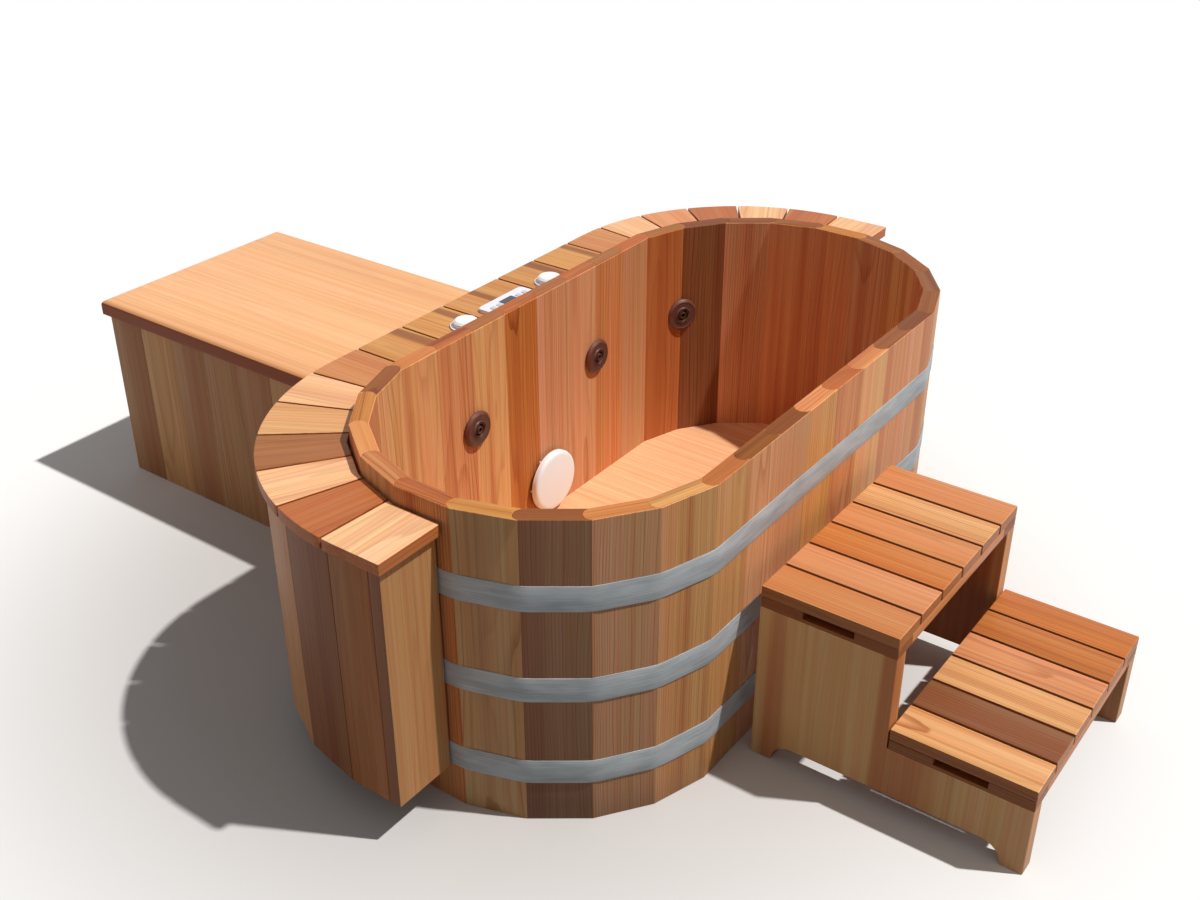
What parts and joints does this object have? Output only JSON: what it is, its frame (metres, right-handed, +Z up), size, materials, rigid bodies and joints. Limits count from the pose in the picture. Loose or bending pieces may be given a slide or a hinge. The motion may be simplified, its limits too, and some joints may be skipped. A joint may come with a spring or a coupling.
{
  "type": "japanese soaking tub",
  "caption": "Free-standing oval soaking tub of upright cedar staves with steel hoops, hydrotherapy jets, wrap-round deck, lidded equipment cabinet and loose steps.",
  "frame": {"origin": "on the ground under the middle of the tub, on the underside of the middle floor joist", "axes": "+X along the tub, +Y from the steps to the equipment cabinet, +Z up"},
  "size_m": [1.9, 2.537, 0.686],
  "materials": {
    "cedar_stave": "oiled cedar",
    "cedar_floor": "plain cedar",
    "cedar_rough": "sawn cedar",
    "hoop_steel": "galvanised band",
    "bolt_steel": "zinc plated",
    "drain_brass": "polished",
    "plug_rubber": "smooth rubber",
    "cedar_deck": "oiled cedar",
    "cedar_skirt": "oiled cedar",
    "cedar_panel": "oiled cedar",
    "cedar_wall": "oiled cedar",
    "cedar_lid": "oiled cedar",
    "jet_body_plastic": "moulded",
    "nut_plastic": "moulded",
    "jet_ring_bronze": "dark bronze finish",
    "jet_ball_bronze": "dark bronze finish",
    "pipe_plastic": "extruded pipe",
    "air_plastic": "extruded tube",
    "cover_plastic": "moulded white",
    "control_plastic": "moulded white",
    "knob_plastic": "moulded white",
    "window_plastic": "dark display window",
    "button_plastic": "moulded grey",
    "hinge_steel": "stainless",
    "gate_plastic": "moulded red",
    "pump_plastic": "moulded black",
    "motor_paint": "satin grey paint",
    "rotor_steel": "machined",
    "heater_steel": "stainless tube",
    "box_paint": "satin light grey paint",
    "cedar_steps": "oiled cedar"
  },
  "bodies": {
    "tub": {"staves_front": "cedar_stave", "staves_back": "cedar_stave", "staves_left": "cedar_stave", "staves_right": "cedar_stave", "floor_boards": "cedar_floor", "floor_joists": "cedar_rough", "hoop_top": "hoop_steel", "hoop_middle": "hoop_steel", "hoop_low": "hoop_steel", "hoop_ears": "hoop_steel", "hoop_bolts": "bolt_steel", "drain_fitting": "drain_brass", "deck_boards_left": "cedar_deck", "deck_boards_back": "cedar_deck", "deck_boards_right": "cedar_deck", "skirt_boards": "cedar_skirt", "apron_end_panels": "cedar_panel", "apron_frame": "cedar_rough", "jet_bodies": "jet_body_plastic", "jet_nuts": "nut_plastic", "suction_fitting": "pipe_plastic", "suction_cover": "cover_plastic", "water_manifold": "pipe_plastic", "air_manifold": "air_plastic", "air_control_bodies": "control_plastic", "panel_housing": "control_plastic", "panel_window": "window_plastic", "cabinet_walls": "cedar_wall", "cabinet_frame": "cedar_rough", "lid_hinges_fixed": "hinge_steel", "pump_wet_end": "pump_plastic", "pump_motor": "motor_paint", "filter_canister": "pump_plastic", "heater": "heater_steel", "control_box": "box_paint", "valve_bodies": "pipe_plastic", "equipment_pipes": "pipe_plastic"},
    "jet_ring_left": {"jet_ring_left": "jet_ring_bronze"},
    "jet_ball_left": {"jet_ball_left": "jet_ball_bronze"},
    "jet_ring_middle": {"jet_ring_middle": "jet_ring_bronze"},
    "jet_ball_middle": {"jet_ball_middle": "jet_ball_bronze"},
    "jet_ring_right": {"jet_ring_right": "jet_ring_bronze"},
    "jet_ball_right": {"jet_ball_right": "jet_ball_bronze"},
    "air_knob_left": {"air_knob_left": "knob_plastic"},
    "air_knob_right": {"air_knob_right": "knob_plastic"},
    "button_1": {"button_1": "button_plastic"},
    "button_2": {"button_2": "button_plastic"},
    "button_3": {"button_3": "button_plastic"},
    "button_4": {"button_4": "button_plastic"},
    "drain_plug": {"drain_plug": "plug_rubber"},
    "lid": {"lid_boards": "cedar_lid", "lid_battens": "cedar_rough", "lid_hinges_moving": "hinge_steel"},
    "suction_gate": {"valve_gate_suction": "gate_plastic"},
    "return_gate": {"valve_gate_return": "gate_plastic"},
    "pump_rotor": {"pump_rotor": "rotor_steel"},
    "steps": {"steps_sides": "cedar_steps", "steps_frame": "cedar_steps", "steps_slats_upper": "cedar_steps", "steps_slats_lower": "cedar_steps"}
  },
  "joints": [
    {"name": "jet_ring_left_turn", "type": "hinge", "parent": "tub", "child": "jet_ring_left", "pos_m": [-0.22668, 0.3696, 0.45], "axis": [0, -1, 0], "range_deg": [0, 90]},
    {"name": "jet_ball_left_tilt", "type": "hinge", "parent": "jet_ring_left", "child": "jet_ball_left", "pos_m": [-0.22668, 0.3696, 0.45], "axis": [0, 0, 1], "range_deg": [-15, 15]},
    {"name": "jet_ring_middle_turn", "type": "hinge", "parent": "tub", "child": "jet_ring_middle", "pos_m": [0.22668, 0.3696, 0.45], "axis": [0, -1, 0], "range_deg": [0, 90]},
    {"name": "jet_ball_middle_tilt", "type": "hinge", "parent": "jet_ring_middle", "child": "jet_ball_middle", "pos_m": [0.22668, 0.3696, 0.45], "axis": [0, 0, 1], "range_deg": [-15, 15]},
    {"name": "jet_ring_right_turn", "type": "hinge", "parent": "tub", "child": "jet_ring_right", "pos_m": [0.55955, 0.33348, 0.45], "axis": [-0.4532, -0.8914, 0], "range_deg": [0, 90]},
    {"name": "jet_ball_right_tilt", "type": "hinge", "parent": "jet_ring_right", "child": "jet_ball_right", "pos_m": [0.55955, 0.33348, 0.45], "axis": [0, 0, 1], "range_deg": [-15, 15]},
    {"name": "air_knob_left_turn", "type": "hinge", "parent": "tub", "child": "air_knob_left", "pos_m": [-0.152, 0.442, 0.65], "axis": [0, 0, -1], "range_deg": [0, 90]},
    {"name": "air_knob_right_turn", "type": "hinge", "parent": "tub", "child": "air_knob_right", "pos_m": [0.152, 0.442, 0.65], "axis": [0, 0, -1], "range_deg": [0, 90]},
    {"name": "button_1_press", "type": "slide", "parent": "tub", "child": "button_1", "axis": [0, 0, -1], "range_m": [0, 0.0012], "stiffness_N_per_m": 300, "springref_m": -0.0005},
    {"name": "button_2_press", "type": "slide", "parent": "tub", "child": "button_2", "axis": [0, 0, -1], "range_m": [0, 0.0012], "stiffness_N_per_m": 300, "springref_m": -0.0005},
    {"name": "button_3_press", "type": "slide", "parent": "tub", "child": "button_3", "axis": [0, 0, -1], "range_m": [0, 0.0012], "stiffness_N_per_m": 300, "springref_m": -0.0005},
    {"name": "button_4_press", "type": "slide", "parent": "tub", "child": "button_4", "axis": [0, 0, -1], "range_m": [0, 0.0012], "stiffness_N_per_m": 300, "springref_m": -0.0005},
    {"name": "drain_plug_lift", "type": "slide", "parent": "tub", "child": "drain_plug", "axis": [0, 0, 1], "range_m": [0, 0.05]},
    {"name": "lid_hinge", "type": "hinge", "parent": "tub", "child": "lid", "pos_m": [0.2649, 1.044, 0.462], "axis": [0, 1, 0], "range_deg": [0, 95]},
    {"name": "suction_gate_slide", "type": "slide", "parent": "tub", "child": "suction_gate", "axis": [0, 0, 1], "range_m": [0, 0.05]},
    {"name": "return_gate_slide", "type": "slide", "parent": "tub", "child": "return_gate", "axis": [-1, 0, 0], "range_m": [0, 0.05]},
    {"name": "pump_spin", "type": "hinge", "parent": "tub", "child": "pump_rotor", "pos_m": [0.03, 0.776, 0.196], "axis": [0, 1, 0], "continuous": true},
    {"name": "steps_away", "type": "slide", "parent": "tub", "child": "steps", "axis": [0, -1, 0], "range_m": [0, 0.4]}
  ]
}
